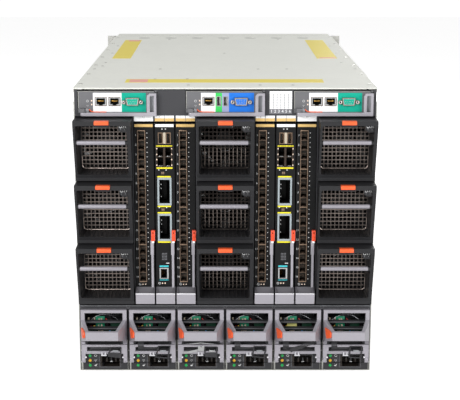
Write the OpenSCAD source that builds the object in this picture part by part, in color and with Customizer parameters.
// Ten-unit rack enclosure for blade servers, with every hot-plug module of its service side.
// +X is to the right as seen from the service side, -Y is the service side, +Z is up.
// The origin is the centre of the footprint on the floor, handles and front frame included.

/* [Enclosure] */
// Width of the sheet-metal body
body_w = 447.5; // [447:0.1:448]
// Height of the body
body_h = 440.5; // [439:0.5:442]
// Depth of the body, from the rack flange to the rear plane
body_d = 754; // [744:1:770]
// Outer sheet thickness
wall = 1.5; // [1.4:0.1:1.6]
// Inner partition thickness
partition = 1.2; // [1.1:0.05:1.3]
// Clearance on each side of a sliding module
fit = 0.4; // [0.3:0.05:0.5]
// Hairline between riveted sheets
seam = 0.1; // [0.06:0.02:0.14]
// How far the power supply grips reach past the rear plane
rear_reach = 40; // [36:1:44]
// How far the front frame reaches past the rack flange
front_reach = 42; // [36:1:48]
// Depth of the bays behind the rear plane, up to the midplane
bay_d = 260; // [250:1:270]
// Room for the plugs between a module and the midplane
plug_room = 12; // [11:0.5:14]
// Gap between a plug and its socket's board
plug_gap = 4.5; // [4.2:0.1:5]

/* [Rack flanges] */
// Reach of a rack flange past the body's side
ear_w = 17.55; // [17.4:0.05:17.7]
// Thickness of a rack flange
flange_t = 2.5; // [2:0.1:3]
// Distance from a rack hole's centre to the edge of its flange
rack_hole_edge = 8.75; // [8.5:0.05:9]
// Radius of a rack hole
rack_hole_r = 3.4; // [3.2:0.1:3.6]
// Height of one rack unit
rack_unit = 44.45; // [44.4:0.01:44.5]

/* [Fans] */
// Share of the inner width that one fan bay takes
fan_share = 0.1908; // [0.189:0.0002:0.192]
// Room behind a fan module, up to the midplane
fan_room = 70; // [60:1:80]
// Reach of the hood past the rear plane
hood_reach = 36; // [30:1:40]
// Reach of the lower lip past the rear plane
lip_reach = 12; // [9:1:16]
// Gap between the blade tips and the duct
tip_gap = 1.6; // [1.2:0.1:2]
// Least wall between the duct and the side of the fan module
duct_wall = 2.9; // [2.5:0.1:3.5]
// Share of the rotor's radius that its hub takes
hub_share = 0.533; // [0.48:0.01:0.58]
// Depth of the rotor along its shaft
rotor_d = 34; // [28:1:38]
// Number of blades
blades = 7; // [5:1:9]
// Radius of the rotor shaft
shaft_r = 3; // [2.5:0.1:4]
// Radial play of a pin or a shaft in its bore
pin_play = 0.05; // [0.03:0.01:0.08]
// Pitch of the finger guard
guard_pitch = 6.1; // [5.6:0.1:6.6]
// Width of one guard bar
guard_bar = 1.3; // [1.1:0.1:1.5]

/* [Input and output modules] */
// Height of the header sheet above these modules
io_header_h = 8; // [6:0.5:10]
// Height of the module's face under its lowest cage
cage_foot = 32.5; // [31:0.5:34]
// Height of the module's face over its highest cage
cage_head = 11.2; // [10:0.1:13]
// Share of the module's width that a cage column takes
cage_share = 0.38; // [0.36:0.005:0.4]
// Sheet thickness between cages
cage_t = 1.1; // [0.9:0.1:1.3]
// Depth of a cage
cage_d = 46; // [40:1:50]
// Reach of the lever's ridge
lever_reach = 16; // [14:0.5:18]
// Height of the lever's grip
lever_grip_h = 17; // [15:0.5:18]
// Thickness of the lever's plate
lever_t = 2.4; // [2:0.1:3]
// Radius of the lever's pin
lever_pin_r = 1.5; // [1.3:0.1:1.7]

/* [Power supplies] */
// Height of the tray over the power supplies, from the floor to its underside
psu_bay_h = 98.5; // [97.5:0.5:99.5]
// Height of the tray itself
tray_h = 12.5; // [11.5:0.5:13.5]
// Clearance between a power supply handle and the edge of its supply
handle_gap = 1.04; // [0.8:0.02:1.4]
// Share of the handle's width that its grip takes
grip_share = 0.7; // [0.65:0.01:0.74]
// Height of the middle of its grip above the floor
grip_z = 69.5; // [67:0.5:72]
// Height of its grip
grip_h = 13.5; // [12:0.5:15]
// Wall of the handle
handle_wall = 3.2; // [2.8:0.1:3.6]
// Radius of the handle's pivot pins
pivot_r = 1.6; // [1.4:0.1:1.8]

/* [Management modules] */
// Height of the management strip at the top
strip_h = 41; // [40:0.5:42]
// Width of a management module
admin_w = 116; // [114:0.5:118]
// Height of a management module
admin_h = 33; // [32:0.5:33.5]
// Distance from an outer management module to the inside of the body
admin_margin = 5.25; // [4:0.25:7]
// Radius of the pin that a management lever turns on
swing_pin_r = 1.6; // [1.4:0.1:1.8]

/* [Blade bays] */
// Number of blade columns
columns = 8; // [6:1:8]
// Room between the outer blade columns and the body
column_margin = 4.65; // [3:0.05:8]
// Height of the plenum under the lower blades
plenum_h = 43; // [41:0.5:45]
// Thickness of the midplane board
board_t = 3.2; // [2.4:0.1:4]
// Thickness of a guide sheet
guide_t = 3; // [2.5:0.1:3.5]
// Height of a guide rail
rail_h = 4; // [3:0.2:5]
// Width of a guide rail
rail_w = 3; // [2.4:0.2:3.6]

/* [Front panel] */
// Width of the display drawer
display_w = 112; // [104:1:116]
// Height of the display drawer
display_h = 27; // [25:0.5:28]
// Radius of the power button
power_r = 8; // [6:0.5:9]
// Travel of the power button
power_travel = 2; // [1.5:0.1:2.5]

/* [Hidden] */
e = 0.01;
rear_y = (rear_reach - front_reach - body_d) / 2;
flange_y = rear_y + body_d;
front_y = flange_y + front_reach;
board_y = rear_y + bay_d;
inner_w = body_w - 2 * wall;
top_z = body_h - wall;
tray_top = psu_bay_h + tray_h;
strip_z = body_h - strip_h;
deck_z = strip_z - partition;
module_d = bay_d - plug_room;
plug_end = bay_d - plug_gap;

// Fan columns at both sides and in the middle, with module groups between them
fan_bay_w = inner_w * fan_share;
fan_w = fan_bay_w - 2 * fit;
fan_d = bay_d - fan_room;
fan_pitch_x = (inner_w - fan_bay_w) / 2;
fan_pitch_z = (deck_z - tray_top) / 3;
fan_h = fan_pitch_z - partition - 2 * fit;
duct_r = min(fan_w, fan_h) / 2 - duct_wall;
rotor_r = duct_r - tip_gap;
hub_r = rotor_r * hub_share;
duct_z = fan_h / 2;
shroud_t = fan_w * 0.062;
hood_lip = 7;
sill_h = 10;
guard_y = 28;
guard_t = 3;
plenum_y = 44;
rotor_y = 52;
hub_gap = 1;
stator_y = rotor_y + rotor_d + hub_gap;
stator_t = 6;
fan_bar_z = fan_h * 0.61;
fan_bar_h = 6.2;
button_w = 21.6;
button_h = 5.6;
button_out = 1.4;
play = 0.15;

// Three modules stand in each group
io_group_w = fan_pitch_x - fan_bay_w - 2 * partition;
io_pitch = io_group_w / 3;
io_w = io_pitch - 3.6 * fit;
io_top = deck_z - io_header_h - fit;
io_h = io_top - tray_top - 2 * fit - 1.6;
io_z = tray_top + fit;
io_face = 1.5;
io_plug_h = io_h * 0.275;
io_plug_z = [io_h * 0.152, io_h * 0.55];
io_x = [for (side = [-1, 1], slot = [-1, 0, 1]) side * fan_pitch_x / 2 + slot * io_pitch];
cage_x = -io_w * 0.122;
cage_w = io_w * cage_share;
cage_z = cage_foot;
cages = 16;
cage_pitch = (io_h - cage_foot - cage_head) / cages;
lever_axis_y = -5.4;
lever_axis_z = 5;
lever_knuckle = 3.4;
clip = 0.5;
arm_w = 3.8;
arm_x = io_w / 2 - clip - arm_w / 2 - 1;
arm_top = io_h * 0.3544;
latch_h = 16;
latch_w = 5.8;
latch_x = io_w / 2 + 0.6;

// Six power supplies stand side by side
psu_pitch = inner_w / 6;
psu_w = psu_pitch - partition - 2 * fit;
psu_z = wall + fit;
psu_h = psu_bay_h - psu_z - fit;
psu_x = [for (i = [0:5]) (i - 2.5) * psu_pitch];
handle_w = psu_w - 2 * handle_gap;
grip_w = handle_w * grip_share;
pivot_y = -5.4;
pivot_z = 49;
knuckle_r = 3.3;
frame_y = -2;
frame_out = 9;
handle_top = psu_bay_h + 2.2;
post_z = 85;
side_bar = 6;
bracket_y0 = -8.4;
bracket_y1 = -6.6;
lug_t = 2.8;
lug_r = 3;
lug_x = handle_w / 2 - side_bar - clip - lug_t;
inlet_x = psu_w * 0.1304;
inlet_w = 30;
inlet_h = 22;
inlet_z = 15.5;

// Management strip
admin_z = strip_z + (strip_h - wall - admin_h) / 2 + 0.6;
admin_pitch = (inner_w - admin_w) / 2 - admin_margin;
admin_x = [-admin_pitch, 0, admin_pitch];
swing_y = -7;
swing_x = -admin_w / 2 + 7;
loop_w = 14;
loop_top = admin_h - 3;
swing_bar_h = 5.2;

// Blade side
guide_top = top_z - wall - 3 * seam - guide_t;
shelf_z = (plenum_h + guide_top) / 2;
guide_y0 = board_y + board_t + 12;
column_pitch = (inner_w - 2 * column_margin) / columns;
display_x = -inner_w / 2 + 22 + display_w / 2;
display_z = 6.5;
display_d = 130;
power_x = inner_w / 2 - 40;
power_z = 21;
power_y = flange_y + 8;
power_sink = 1.5;
cover_screws = [for (side = [-1, 1], i = [0:6]) [side * (body_w / 2 - 7), rear_y + 40 + i * (body_d - 80) / 6]];
screw_r = 1.6;
head_r = 3;
head_h = 0.6;

// ---- Drawing helpers ----

// Block between two opposite corners
module block(a, b) {
    translate(a) cube(b - a);
}

// A drawing in X and Z, given depth from y0 to y1
module upright(y0, y1) {
    translate([0, y1, 0]) rotate([90, 0, 0]) linear_extrude(y1 - y0) children();
}

// A side profile in Y and Z, running from x0 to x1
module sideways(x0, x1) {
    translate([x0, 0, 0]) rotate([90, 0, 90]) linear_extrude(x1 - x0) children();
}

// Round bars along each axis
module rod_x(x0, x1, r) {
    translate([x0, 0, 0]) rotate([0, 90, 0]) cylinder(r = r, h = x1 - x0, $fn = 48);
}
module rod_y(y0, y1, r) {
    translate([0, y1, 0]) rotate([90, 0, 0]) cylinder(r = r, h = y1 - y0, $fn = 48);
}
module rod_z(z0, z1, r) {
    translate([0, 0, z0]) cylinder(r = r, h = z1 - z0, $fn = 48);
}

// Rectangle between two corners, with its corners cut off
module panel(x0, z0, x1, z1, c = 0) {
    polygon([[x0 + c, z0], [x1 - c, z0], [x1, z0 + c], [x1, z1 - c],
             [x1 - c, z1], [x0 + c, z1], [x0, z1 - c], [x0, z0 + c]]);
}

// Network socket: a square mouth with the slot for the plug's clip under it
module network_mouth(x, z) {
    panel(x - 6.2, z - 4.2, x + 6.2, z + 4.6);
    panel(x - 3, z - 6, x + 3, z - 4);
}

// Shell of a screw-on connector, narrower at the bottom
module d_shell(x, z, w, h) {
    polygon([[x - w / 2 + 1.6, z - h / 2], [x + w / 2 - 1.6, z - h / 2], [x + w / 2, z + h / 2],
             [x - w / 2, z + h / 2]]);
}

// ---- Enclosure ----

module chassis_shell() {
    flange_w = 13;
    flange_z = top_z - seam - wall;
    color("#c6c5bf") difference() {
        union() {
            block([-body_w / 2, rear_y, 0], [body_w / 2, flange_y, wall]);
            for (side = [0, 1]) mirror([side, 0, 0]) {
                block([body_w / 2 - wall, rear_y, 0], [body_w / 2, flange_y, top_z - seam]);
                block([body_w / 2 - flange_w, rear_y + 3, flange_z], [body_w / 2, flange_y - 3, top_z - seam]);
            }
            // Runners under the display drawer
            for (dx = [-1, 1]) translate([display_x + dx * (display_w / 2 - 8), 0, 0])
                block([-4, front_y - display_d - 20, wall - e], [4, flange_y, display_z - fit]);
        }
        for (p = cover_screws) translate([p[0], p[1], 0]) rod_z(flange_z - 1, top_z + 1, screw_r + play);
        for (side = [0, 1]) mirror([side, 0, 0]) {
            block([body_w / 2 - 2 * wall, rear_y - 1, strip_z + 20],
                  [body_w / 2 + 1, rear_y + 9, strip_z + 35]);
            for (z = [24, 60]) translate([0, flange_y - 14, z])
                rod_x(body_w / 2 - 2 * wall, body_w / 2 + 1, screw_r + play);
        }
    }
}

module top_cover() {
    dimple_y = flange_y - 31;
    color("#d6d6d1") difference() {
        block([-body_w / 2, rear_y, top_z], [body_w / 2, flange_y, body_h]);
        for (p = cover_screws) translate([p[0], p[1], 0]) rod_z(top_z - 1, body_h + 1, screw_r + play);
        for (k = [1 - columns / 2:columns / 2 - 1]) translate([k * column_pitch, dimple_y, 0]) {
            rod_z(top_z + wall / 2, body_h + 1, 4);
            translate([6, 0, 0]) rod_z(top_z + wall / 2, body_h + 1, 4);
        }
    }
    // Stiffener under the rear edge
    color("#d6d6d1") block([-body_w / 2 + 16, rear_y + 3, top_z - seam - partition],
                           [body_w / 2 - 16, rear_y + 12, top_z - seam]);
}

module cover_screws() {
    color("#b8b8b4") for (p = cover_screws) translate([p[0], p[1], 0]) {
        rod_z(top_z - seam - wall, body_h + e, screw_r);
        rod_z(body_h, body_h + head_h, head_r);
    }
}

// One flange: a strip with four rack holes, folded back along the body's side
module rack_flange() {
    first_hole = rack_unit / 2 - (10 * rack_unit - body_h) / 2;
    difference() {
        union() {
            block([body_w / 2 + seam, flange_y - flange_t, 0], [body_w / 2 + ear_w, flange_y, body_h]);
            block([body_w / 2 + seam, flange_y - 28, 0], [body_w / 2 + seam + flange_t, flange_y, body_h]);
        }
        for (u = [0, 3, 6, 9]) translate([body_w / 2 + ear_w - rack_hole_edge, 0, first_hole + u * rack_unit])
            rod_y(flange_y - flange_t - 1, flange_y + 1, rack_hole_r);
    }
}
module left_rack_flange() {
    color("#bdbdb8") mirror([1, 0, 0]) rack_flange();
}
module right_rack_flange() {
    color("#bdbdb8") rack_flange();
}

// Sheets that divide the service side into bays
module rear_frame() {
    bay_end = board_y - 1;
    half = inner_w / 2 - seam;
    color("#56565a") {
        // Deck under the management strip
        block([-half, rear_y, deck_z], [half, bay_end, strip_z]);
        // Face of the strip: a sill, and posts that leave a window for each module
        face_z = admin_z - fit;
        window = admin_w / 2 + fit;
        block([-half, rear_y, strip_z + seam], [half, rear_y + 2, face_z]);
        for (span = [[-half, admin_x[0] - window], [admin_x[0] + window, admin_x[1] - window],
                     [admin_x[1] + window, admin_x[2] - window], [admin_x[2] + window, half]])
            block([span[0], rear_y, face_z + seam], [span[1], rear_y + 2, top_z - 3 * seam - wall]);
        for (x = admin_x, side = [-1, 1]) translate([x + side * (admin_w / 2 - 9), 0, 0])
            block([-4, rear_y + 6, strip_z + seam], [4, bay_end, admin_z - fit / 2]);
        // Tray over the power supplies: a folded box with a step at its rear edge
        sideways(-half, half) difference() {
            polygon([[rear_y, psu_bay_h], [bay_end, psu_bay_h], [bay_end, tray_top], [rear_y + 8, tray_top],
                     [rear_y + 8, psu_bay_h + 7], [rear_y, psu_bay_h + 7]]);
            polygon([[rear_y + 10, psu_bay_h + partition], [bay_end - 2, psu_bay_h + partition],
                     [bay_end - 2, tray_top - partition], [rear_y + 10, tray_top - partition]]);
        }
        // Walls beside the fan columns
        for (side = [0, 1]) mirror([side, 0, 0]) for (x = [fan_bay_w / 2, fan_pitch_x - fan_bay_w / 2 - partition])
            block([x, rear_y, tray_top + seam], [x + partition, bay_end, deck_z - seam]);
        // Shelves between the fans
        for (column = [-1:1], row = [1, 2]) translate([column * fan_pitch_x, 0, tray_top + row * fan_pitch_z])
            block([seam - fan_bay_w / 2, rear_y + 4, -partition], [fan_bay_w / 2 - seam, bay_end, 0]);
        // Headers over the input and output modules
        for (side = [-1, 1]) translate([side * fan_pitch_x / 2, 0, 0])
            block([seam - io_group_w / 2, rear_y, deck_z - io_header_h],
                  [io_group_w / 2 - seam, rear_y + 10, deck_z - seam]);
        // Walls between the power supplies
        for (i = [-2:2]) translate([i * psu_pitch, 0, 0])
            block([-partition / 2, rear_y, wall + seam], [partition / 2, bay_end, psu_bay_h - seam]);
    }
}

// Board that every module plugs into, with air windows between the connectors
module midplane() {
    half = inner_w / 2 - 3 * seam;
    board_z0 = plenum_h + 1;
    board_z1 = guide_top + 2;
    color("#1f6b45") difference() {
        block([-half, board_y, board_z0], [half, board_y + board_t, board_z1]);
        for (column = [-1:1], row = [0:2])
            translate([column * 3 * column_pitch, 0, tray_top + row * fan_pitch_z + 22])
                block([-14, board_y - 1, 0], [14, board_y + board_t + 1, 62]);
    }
    color("#2a2a2a") {
        socket_y = board_y - 4;
        for (x = io_x, z = io_plug_z) translate([x, 0, io_z + z])
            block([-8, socket_y, -2], [8, board_y, io_plug_h + 2]);
        for (column = [-1:1], row = [0:2]) translate([column * fan_pitch_x, 0, tray_top + row * fan_pitch_z])
            block([-11, socket_y, 3], [11, board_y, 11]);
        for (x = admin_x) translate([x, 0, admin_z]) block([-26, socket_y, 8], [26, board_y, 20]);
        for (x = psu_x) translate([x, 0, 0]) block([-25, socket_y, 56], [25, board_y, 74]);
        for (i = [0:columns - 1], z = [plenum_h + 24, plenum_h + 104, shelf_z + 24, shelf_z + 104])
            translate([(i - (columns - 1) / 2) * column_pitch, 0, z])
                block([-5, board_y + board_t, 0], [5, board_y + board_t + 9, 60]);
    }
}

// Floor, shelf and ceiling of the blade bays, with a guide rail riveted on at each edge of a column
module guide_sheet(z0, up, down) {
    half = inner_w / 2 - seam;
    rail = rail_w / 2;
    edges = [for (i = [0:columns]) (i - columns / 2) * column_pitch];
    upright(guide_y0, flange_y - 2) panel(-half, z0, half, z0 + guide_t);
    for (x = edges) {
        if (up) block([x - rail, guide_y0, z0 + guide_t + seam], [x + rail, flange_y - 2, z0 + guide_t + rail_h]);
        if (down) block([x - rail, guide_y0, z0 - rail_h], [x + rail, flange_y - 2, z0 - seam]);
    }
}
module blade_guides() {
    color("#b4b4b0") {
        guide_sheet(plenum_h - guide_t, true, false);
        guide_sheet(shelf_z - guide_t / 2, true, true);
        guide_sheet(guide_top, false, true);
    }
}

// Moulded frame round the blade bays, with the control strip under them
module front_frame() {
    half = body_w / 2;
    vents = [for (i = [0:16]) -52 + i * 11];
    ramp = 14;
    color("#3a3a3d") difference() {
        upright(flange_y + seam, front_y) difference() {
            panel(-half, 0, half, body_h, 6);
            panel(-inner_w / 2 + 4, plenum_h, inner_w / 2 - 4, guide_top, 3);
            panel(display_x - display_w / 2 - fit, display_z - fit, display_x + display_w / 2 + fit,
                  display_z + display_h + fit);
            for (x = vents) panel(x - 3.5, 9, x + 3.5, plenum_h - 9, 1);
            for (x = [0, 18]) panel(power_x - 34 - x, power_z - 3.5, power_x - 20.5 - x, power_z + 3.5);
        }
        // The side posts fall back towards the rack flanges
        for (side = [0, 1]) mirror([side, 0, 0]) linear_extrude(body_h + 1)
            polygon([[half - ramp / 2, front_y + 1], [half + 1, front_y - ramp], [half + 1, front_y + 1]]);
        translate([power_x, 0, power_z]) {
            rod_y(power_y - power_travel - fit, front_y + 1, power_r + fit);
            rod_y(front_y - power_sink, front_y + 1, power_r + 3);
        }
    }
}

// Pull-out drawer that carries the status display face up
module display_drawer() {
    x0 = display_x - display_w / 2;
    x1 = display_x + display_w / 2;
    z1 = display_z + display_h;
    color("#2c2c2e") difference() {
        block([x0, front_y - display_d, display_z], [x1, front_y - 2, z1]);
        block([x0 + 3, front_y - display_d + 3, display_z + 3], [x1 - 3, front_y - 78, z1 + 1]);
        block([x0 + 14, front_y - 72, z1 - 4], [x1 - 38, front_y - 14, z1 + 1]);
        sideways(display_x - 22, display_x + 22)
            polygon([[front_y, display_z + 6], [front_y - 2, display_z + 6], [front_y - 9, display_z + 12],
                     [front_y - 9, z1 - 8], [front_y, z1 - 8]]);
    }
    color("#4a4a4e") for (dx = [-8, 8], dy = [-52, -36]) translate([x1 - 20 + dx, front_y + dy, z1 - e])
        rod_z(0, 0.3, 4);
}
module display_glass() {
    x0 = display_x - display_w / 2 + 14 + play;
    x1 = display_x + display_w / 2 - 38 - play;
    z1 = display_z + display_h;
    color("#2e4a63") block([x0, front_y - 72 + play, z1 - 4], [x1, front_y - 14 - play, z1 - 1.5]);
}

module power_button() {
    color("#8d8f93") translate([power_x, 0, power_z]) difference() {
        rod_y(power_y, front_y - power_sink, power_r);
        rod_y(front_y - power_sink - 0.8, front_y, power_r - 3);
    }
}

// ---- Fans ----

fan_x = [for (column = [-1:1], row = [0:2]) column * fan_pitch_x];
fan_z = [for (column = [-1:1], row = [0:2]) tray_top + row * fan_pitch_z + fit];
mouth_w = fan_w - 2 * shroud_t;
mouth_x0 = -mouth_w / 2 - 2;
mouth_x1 = mouth_w / 2;
mouth_z1 = fan_h - hood_lip;
lip_slope = (hood_reach - lip_reach) / (mouth_z1 - sill_h / 2);
function hood_y(z) = -lip_reach - lip_slope * (z - sill_h / 2);

// Square mesh of the finger guard, centred in the mouth
module guard_mesh() {
    nx = floor(mouth_w / guard_pitch);
    nz = floor((mouth_z1 - sill_h) / guard_pitch);
    hole = guard_pitch - guard_bar;
    difference() {
        panel(mouth_x0 + seam, sill_h + seam, mouth_x1 - seam, mouth_z1 - seam, 2);
        for (i = [0:nx - 1], k = [0:nz - 1])
            translate([(i - nx / 2 + 0.5) * guard_pitch, (sill_h + mouth_z1) / 2 + (k - nz / 2 + 0.5) * guard_pitch])
                square(hole, center = true);
    }
}

// Hood with its grip bar and indicator plate
module fan_hood() {
    bar_y = hood_y(fan_bar_z + fan_bar_h / 2);
    difference() {
        sideways(-fan_w / 2, fan_w / 2)
            polygon([[plenum_y - seam, 0], [plenum_y - seam, fan_h], [-hood_reach, fan_h], [-hood_reach, mouth_z1],
                     [-lip_reach, sill_h / 2], [-lip_reach, 0]]);
        upright(-hood_reach - 1, plenum_y + 1) panel(mouth_x0, sill_h, mouth_x1, mouth_z1, 2);
        upright(-hood_reach - 1, -hood_reach + 8)
            panel(-button_w / 2 - play, fan_h - button_h - play, button_w / 2 + play, fan_h + 1);
    }
    sideways(mouth_x0 - 1, mouth_x1 + 1) translate([bar_y, fan_bar_z])
        polygon([[0, 1.4], [0, fan_bar_h - 1.4], [1.4, fan_bar_h], [4.6, fan_bar_h], [6, fan_bar_h - 1.4],
                 [6, 1.4], [4.6, 0], [1.4, 0]]);
    upright(hood_y(mouth_z1) + 5, hood_y(mouth_z1) + 7)
        polygon([[mouth_x1 + 1, mouth_z1 + 1], [mouth_x1 - 13, mouth_z1 + 1], [mouth_x1 - 13, mouth_z1 - 6],
                 [mouth_x1 - 9, mouth_z1 - 10], [mouth_x1 + 1, mouth_z1 - 10]]);
}

// Frame with the duct, the motor mount on four spokes, the shaft and the tongue that carries the plug
module fan_frame() {
    difference() {
        block([-fan_w / 2, plenum_y, 0], [fan_w / 2, fan_d, fan_h]);
        translate([0, 0, duct_z]) rod_y(plenum_y - 1, fan_d + 1, duct_r);
    }
    translate([0, 0, duct_z]) {
        rod_y(stator_y, stator_y + stator_t, hub_r - 1);
        rod_y(rotor_y + 6, stator_y + 1, shaft_r);
        for (a = [45:90:315]) rotate([0, a, 0])
            block([-2, stator_y, hub_r - 3], [2, stator_y + stator_t, duct_r + 1]);
    }
    block([-13, fan_d - 1, 1], [13, plug_end - 6, 9]);
    block([-10, plug_end - 7, 3], [10, plug_end, 8.5]);
}

module fan_module() {
    color("#303033") fan_hood();
    color("#303033") fan_frame();
    color("#303033") upright(guard_y, guard_y + guard_t) guard_mesh();
    color("#ff7a3a") block([-button_w / 2, -hood_reach - button_out, fan_h - button_h],
                           [button_w / 2, -hood_reach + 8 - play, fan_h - play]);
}

// Cambered section of a blade, drawn across the shaft and along it
module blade_section() {
    steps = 6;
    chord = rotor_d - 5;
    sweep = 19;
    half_t = 0.9;
    line = [for (i = [0:steps]) let (s = i / steps) [sweep * (pow(s, 1.5) - 0.45), rotor_y + 2.5 + chord * s]];
    polygon(concat([for (p = line) p - [half_t, 0]],
                   [for (i = [steps:-1:0]) line[i] + [half_t * (1.4 - i / steps), 0]]));
}

module fan_rotor() {
    color("#222224") difference() {
        union() {
            translate([0, rotor_y, 0]) rotate([-90, 0, 0]) rotate_extrude($fn = 64)
                polygon([[0, 0], [hub_r - 5, 0], [hub_r, 4], [hub_r, rotor_d], [0, rotor_d]]);
            intersection() {
                rod_y(rotor_y, rotor_y + rotor_d, rotor_r);
                for (k = [0:blades - 1]) rotate([0, k * 360 / blades, 0])
                    translate([0, 0, hub_r - 1]) linear_extrude(rotor_r - hub_r + 3) blade_section();
            }
        }
        rod_y(rotor_y + 5, rotor_y + rotor_d + 1, shaft_r + pin_play);
    }
}

module fan(i) {
    translate([fan_x[i], rear_y, fan_z[i]]) fan_module();
}
module rotor(i) {
    translate([fan_x[i], rear_y, fan_z[i] + duct_z]) fan_rotor();
}

// ---- Input and output modules ----

// Mouths of a column of transceiver cages
module cage_mouths(x, z, w, count) {
    for (k = [0:count - 1])
        panel(x - w / 2 + cage_t, z + k * cage_pitch + cage_t / 2, x + w / 2 - cage_t,
              z + (k + 1) * cage_pitch - cage_t / 2);
}

// Closed housing with its face, the ears of the lever and the plugs to the midplane
module io_housing() {
    half = io_w / 2;
    ear_x = half - lever_t - 2 * clip - 3.2;
    block([-half, 0, 0], [half, module_d, io_h]);
    block([-half + 0.5, -io_face, 0.5], [half - 0.5, 1, io_h - 1]);
    for (z = io_plug_z) block([-7, module_d - 1, z], [7, plug_end, z + io_plug_h]);
    for (side = [0, 1]) mirror([side, 0, 0]) {
        translate([0, lever_axis_y, lever_axis_z]) {
            rod_x(ear_x, ear_x + 3, 3);
            rod_x(ear_x + 2, half - clip, lever_pin_r);
        }
        block([ear_x, lever_axis_y, lever_axis_z - 3], [ear_x + 3, 0, lever_axis_z + 3]);
    }
}

// Sixteen cages in one column
module pass_through_module() {
    column_h = cages * cage_pitch;
    color("#242426") difference() {
        union() {
            io_housing();
            upright(-io_face - 1.6, 0) polygon([[cage_x - cage_w / 2 + 2, cage_z - 3], [cage_x + cage_w / 2 - 2, cage_z - 3],
                [cage_x + cage_w / 2, cage_z], [cage_x + cage_w / 2, cage_z + column_h + cage_t],
                [cage_x - cage_w / 2, cage_z + column_h + cage_t], [cage_x - cage_w / 2, cage_z]]);
        }
        upright(-io_face - 3, cage_d) cage_mouths(cage_x, cage_z + cage_t / 2, cage_w, cages);
    }
}

// Two serial sockets, a block of four cages, two uplink bays and a network socket
module switch_module() {
    color("#242426") difference() {
        union() {
            io_housing();
            for (z = uplink_z) upright(-io_face - 0.6, 0)
                panel(uplink_x - uplink_w / 2, z, uplink_x + uplink_w / 2, z + uplink_h);
            upright(-io_face - 1, 0) panel(quad_x[0] - cage_w / 2 - 0.2, quad_z - 1, quad_x[1] + cage_w / 2 + 0.2,
                                           quad_z + 2 * cage_pitch + 1);
            upright(-io_face - 1, 0) panel(socket_x - 7.1, 36, socket_x + 7.1, 55.6);
        }
        upright(-io_face - 3, 40) union() {
            for (z = uplink_z)
                panel(uplink_x - uplink_w / 2 + 2.2, z + 3, uplink_x + uplink_w / 2 - 2.2, z + uplink_h - 3);
            for (x = quad_x) cage_mouths(x, quad_z, cage_w, 2);
        }
        upright(-io_face - 3, 14) union() {
            for (x = serial_x) panel(x - 2.7, io_h - 30, x + 2.7, io_h - 15);
            panel(socket_x - 4.9, 38.6, socket_x + 4.7, 53);
        }
    }
}
uplink_x = -io_w * 0.027;
uplink_w = io_w * 0.713;
uplink_h = io_h * 0.1537;
uplink_z = [io_h * 0.3494, io_h * 0.5497];
quad_x = [-io_w * 0.224, io_w * 0.177];
quad_z = io_h * 0.765;
serial_x = [-io_w * 0.207, io_w * 0.19];
socket_x = -io_w * 0.092;

module io_module(i) {
    translate([io_x[i], rear_y, io_z]) {
        if (i % 3 == 1) switch_module();
        else pass_through_module();
    }
}

// Scooped grip on two pivots, with the long arm that holds the latch
module io_lever(i) {
    half = io_w / 2 - clip;
    top = lever_grip_h + 1;
    rise = 24.5;
    y1 = -io_face - 0.7;
    translate([io_x[i], rear_y, io_z]) {
        color("#b9b7bc") difference() {
            union() {
                sideways(-half, half)
                    polygon([[2 - lever_reach, 1], [-lever_reach, top], [lever_t - lever_reach, top],
                             [lever_t + 1.2 - lever_reach, 9], [y1 - lever_t, rise], [y1, rise],
                             [y1, rise - 4], [-9.9, 6], [lever_t + 2 - lever_reach, 1]]);
                for (side = [0, 1]) mirror([side, 0, 0]) {
                    sideways(half - lever_t, half)
                        polygon([[2 - lever_reach, 1], [-lever_reach, top], [y1 - lever_t, rise], [y1, rise],
                                 [y1, lever_axis_z + 3], [lever_axis_y - lever_knuckle, lever_axis_z - 3]]);
                    translate([0, lever_axis_y, lever_axis_z]) rod_x(half - lever_t, half, lever_knuckle);
                }
                block([arm_x - arm_w / 2, y1 - 3, rise - 3], [arm_x + arm_w / 2 - 0.4, y1, arm_top]);
                block([arm_x - arm_w / 2 - 1, y1 - 3.4, arm_top - 22], [arm_x + arm_w / 2, y1, arm_top]);
            }
            translate([0, lever_axis_y, lever_axis_z]) rod_x(-half - 1, half + 1, lever_pin_r + pin_play);
        }
        color("#e8481f") difference() {
            upright(y1 - 5, y1) panel(latch_x - latch_w, arm_top + seam, latch_x, arm_top + latch_h, 1);
            translate([latch_x - latch_w / 2, 0, arm_top + latch_h * 0.72]) rod_y(y1 - 6, y1 - 4, 1);
        }
    }
}

// ---- Power supplies ----

grip_z0 = grip_z - grip_h / 2;
grip_z1 = grip_z + grip_h / 2;

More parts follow.
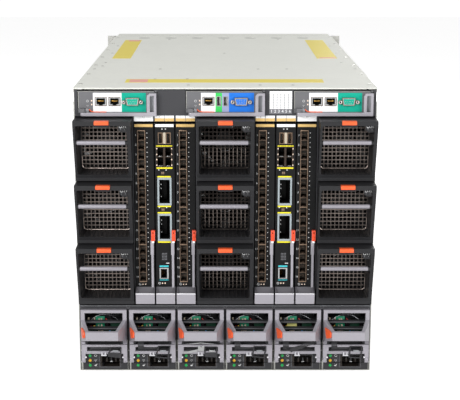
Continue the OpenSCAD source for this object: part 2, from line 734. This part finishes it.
module psu(i) {
    half = psu_w / 2;
    recess = psu_w * 0.43;
    translate([psu_x[i], rear_y, 0]) {
        color("#3b3b3e") {
            difference() {
                union() {
                    block([-half, 0, psu_z], [half, module_d, psu_z + psu_h]);
                    block([-24, module_d - 1, 58], [24, plug_end, 72]);
                }
                block([-recess, -1, pivot_z + 4], [recess, 42, psu_z + psu_h - 2.5]);
                block([-recess + 4, -1, 36], [recess - 4, 8, 47]);
                upright(-1, 22) panel(inlet_x - inlet_w / 2, inlet_z - inlet_h / 2, inlet_x + inlet_w / 2,
                                      inlet_z + inlet_h / 2, 3);
            }
            // Louvres across the fan recess
            for (z = [67.5, 78]) sideways(-recess - 1, recess + 1)
                polygon([[0.5, z - 1.2], [0.5, z + 1.2], [6, z + 2.4], [6, z]]);
            // Fan behind the louvres
            translate([0, 0, 74]) rod_y(26, 43, 9);
            for (a = [0:40:320]) translate([0, 0, 74]) rotate([0, a, 0])
                block([-1, 28, 7], [1, 40, 20]);
            // Inlet blades
            for (dx = [-7, 0, 7]) translate([inlet_x + dx, 0, inlet_z]) block([-1, 5, -3.5], [1, 23, 3.5]);
            // Lugs and pivot pins of the handle
            for (side = [0, 1]) mirror([side, 0, 0]) {
                translate([0, pivot_y, pivot_z]) {
                    rod_x(lug_x, lug_x + lug_t, lug_r);
                    rod_x(lug_x + 2, handle_w / 2 - clip, pivot_r);
                }
                block([lug_x, pivot_y, pivot_z - lug_r], [lug_x + lug_t, 1, pivot_z + lug_r]);
                // Studs that the cord bracket hangs on
                translate([handle_w / 2 - 3, 0, 21]) {
                    rod_y(bracket_y0 - 0.3, 1, 1.5);
                    rod_y(bracket_y0 - 1.2, bracket_y0 - 0.3, 2.4);
                    rod_y(bracket_y1 + 0.3, 1, 2.6);
                }
            }
            // Indicator lenses
            for (z = [8.7, 16.5, 24.3]) translate([-22, 0, z]) rod_y(-0.8, 1, 2.1);
        }
        color("#c2c1c4") cord_bracket();
    }
}

// Bracket that a mains cord is strapped to: two posts and two rails
module cord_bracket() {
    half = handle_w / 2;
    difference() {
        upright(bracket_y0, bracket_y1) difference() {
            panel(-half, 16.5, half, 45);
            panel(-half + 5.8, 10, half - 5.8, 30.5);
            panel(-half + 8.5, 34, half - 8.5, 41.5, 1.6);
        }
        for (side = [-1, 1]) translate([side * (half - 3), 0, 21]) rod_y(bracket_y0 - 1, bracket_y1 + 1, 1.5 + play);
    }
}

// Wedge-shaped hand grip, open at the top and at the back, on two round-ended legs
module psu_handle(i) {
    half = handle_w / 2;
    inner = half - side_bar;
    under = 51;
    translate([psu_x[i], rear_y, 0]) color("#b9b7bc") difference() {
        union() {
            intersection() {
                sideways(-half, half)
                    polygon([[frame_y, under], [-frame_out, under], [-rear_reach, grip_z0], [-rear_reach, grip_z1],
                             [-frame_out, post_z], [-frame_out, handle_top], [frame_y, handle_top]]);
                linear_extrude(handle_top + 1)
                    polygon([[-half, 0], [half, 0], [half, -frame_out], [grip_w / 2, -rear_reach],
                             [-grip_w / 2, -rear_reach], [-half, -frame_out]]);
            }
            for (side = [0, 1]) mirror([side, 0, 0]) {
                block([inner, -8.4, pivot_z], [half, frame_y, under + 2]);
                translate([0, pivot_y, pivot_z]) rod_x(inner, half, knuckle_r);
            }
        }
        // Room for the fingers
        intersection() {
            sideways(-inner, inner)
                polygon([[1, under - 3], [-frame_out + 2, under + handle_wall - 1], [handle_wall - rear_reach, grip_z0 + handle_wall],
                         [handle_wall - rear_reach, handle_top - 4.6], [1, handle_top - 4.6]]);
            linear_extrude(handle_top + 1)
                polygon([[-inner, 2], [inner, 2], [inner, -frame_out], [grip_w / 2 - handle_wall - 1, handle_wall - rear_reach],
                         [handle_wall + 1 - grip_w / 2, handle_wall - rear_reach], [-inner, -frame_out]]);
        }
        translate([0, pivot_y, pivot_z]) rod_x(-half - 1, half + 1, pivot_r + pin_play);
        // Notches that clear the lugs
        for (side = [0, 1]) mirror([side, 0, 0])
            block([lug_x - clip, pivot_y - lug_r - clip, pivot_z - lug_r], [inner, 0, pivot_z + lug_r + clip]);
    }
}

// ---- Management modules ----

module admin_housing(mouth_depth) {
    half = admin_w / 2;
    difference() {
        union() {
            block([-half, 0, 0], [half, module_d - 2, admin_h]);
            block([-24, module_d - 3, 9], [24, plug_end, 19]);
            // Head of the lever's pin
            block([swing_x - 3.6, swing_y - 3, 2], [swing_x + 3.6, 1, 7.5]);
            translate([swing_x, swing_y, 0]) rod_z(-3.2, 3, swing_pin_r);
        }
        upright(-1, mouth_depth) children();
    }
}

// Two network sockets and a serial connector
module controller_module() {
    color("#6a6a6e") {
        admin_housing(15) union() {
            network_mouth(-24.2, 17);
            network_mouth(-4, 17);
        }
        upright(-5, 1) d_shell(22.5, 16.5, 17, 9);
        for (x = [10, 35]) translate([x, 0, 16.5]) rod_y(-5.5, 1, 2.6);
    }
}

// Network socket, two serial sockets and a display connector
module console_module() {
    color("#6a6a6e") {
        admin_housing(15) union() {
            network_mouth(-24.8, 17.5);
            for (x = [-9.5, 0.3]) panel(x - 2.8, 10.5, x + 2.8, 24);
        }
        upright(-5, 1) d_shell(23.4, 16.5, 17, 9);
        for (x = [10.7, 36.1]) translate([x, 0, 16.5]) rod_y(-5.5, 1, 2.6);
    }
}

module admin_module(i) {
    translate([admin_x[i], rear_y, admin_z]) {
        if (i == 1) console_module();
        else controller_module();
    }
}

// Long lever under the module, with a finger loop at its free end
module admin_lever(i) {
    half = admin_w / 2;
    y0 = swing_y - 3;
    z0 = -3.6;
    z1 = z0 + swing_bar_h;
    translate([admin_x[i], rear_y, admin_z]) color("#b9b7bc") difference() {
        union() {
            block([swing_x, y0, z0], [half, swing_y, z1]);
            upright(y0, swing_y) difference() {
                polygon([[half - loop_w, z0], [half, z0], [half, loop_top], [half - loop_w + 4, loop_top],
                         [half - loop_w, loop_top - 4]]);
                polygon([[half - loop_w + 4.4, z1 + 1], [half - 3.8, z1 + 1], [half - 3.8, loop_top - 3.4],
                         [half - loop_w + 5.6, loop_top - 3.4], [half - loop_w + 4.4, loop_top - 5]]);
            }
            translate([swing_x, swing_y, 0]) rod_z(z0, z1, 3);
        }
        translate([swing_x, swing_y, 0]) rod_z(z0 - 1, z1 + 1, swing_pin_r + pin_play);
    }
}

chassis_shell();
top_cover();
rear_frame();
midplane();
blade_guides();
left_rack_flange();
right_rack_flange();
front_frame();
display_drawer();
display_glass();
power_button();
cover_screws();
fan(0);  // fan_1
fan(1);  // fan_2
fan(2);  // fan_3
fan(3);  // fan_4
fan(4);  // fan_5
fan(5);  // fan_6
fan(6);  // fan_7
fan(7);  // fan_8
fan(8);  // fan_9
rotor(0);  // fan_rotor_1
rotor(1);  // fan_rotor_2
rotor(2);  // fan_rotor_3
rotor(3);  // fan_rotor_4
rotor(4);  // fan_rotor_5
rotor(5);  // fan_rotor_6
rotor(6);  // fan_rotor_7
rotor(7);  // fan_rotor_8
rotor(8);  // fan_rotor_9
io_module(0);  // io_module_1
io_module(1);  // io_module_2
io_module(2);  // io_module_3
io_module(3);  // io_module_4
io_module(4);  // io_module_5
io_module(5);  // io_module_6
io_lever(0);  // io_lever_1
io_lever(1);  // io_lever_2
io_lever(2);  // io_lever_3
io_lever(3);  // io_lever_4
io_lever(4);  // io_lever_5
io_lever(5);  // io_lever_6
psu(0);  // psu_1
psu(1);  // psu_2
psu(2);  // psu_3
psu(3);  // psu_4
psu(4);  // psu_5
psu(5);  // psu_6
psu_handle(0);  // psu_handle_1
psu_handle(1);  // psu_handle_2
psu_handle(2);  // psu_handle_3
psu_handle(3);  // psu_handle_4
psu_handle(4);  // psu_handle_5
psu_handle(5);  // psu_handle_6
admin_module(0);  // admin_module_1
admin_module(1);  // admin_module_2
admin_module(2);  // admin_module_3
admin_lever(0);  // admin_lever_1
admin_lever(1);  // admin_lever_2
admin_lever(2);  // admin_lever_3
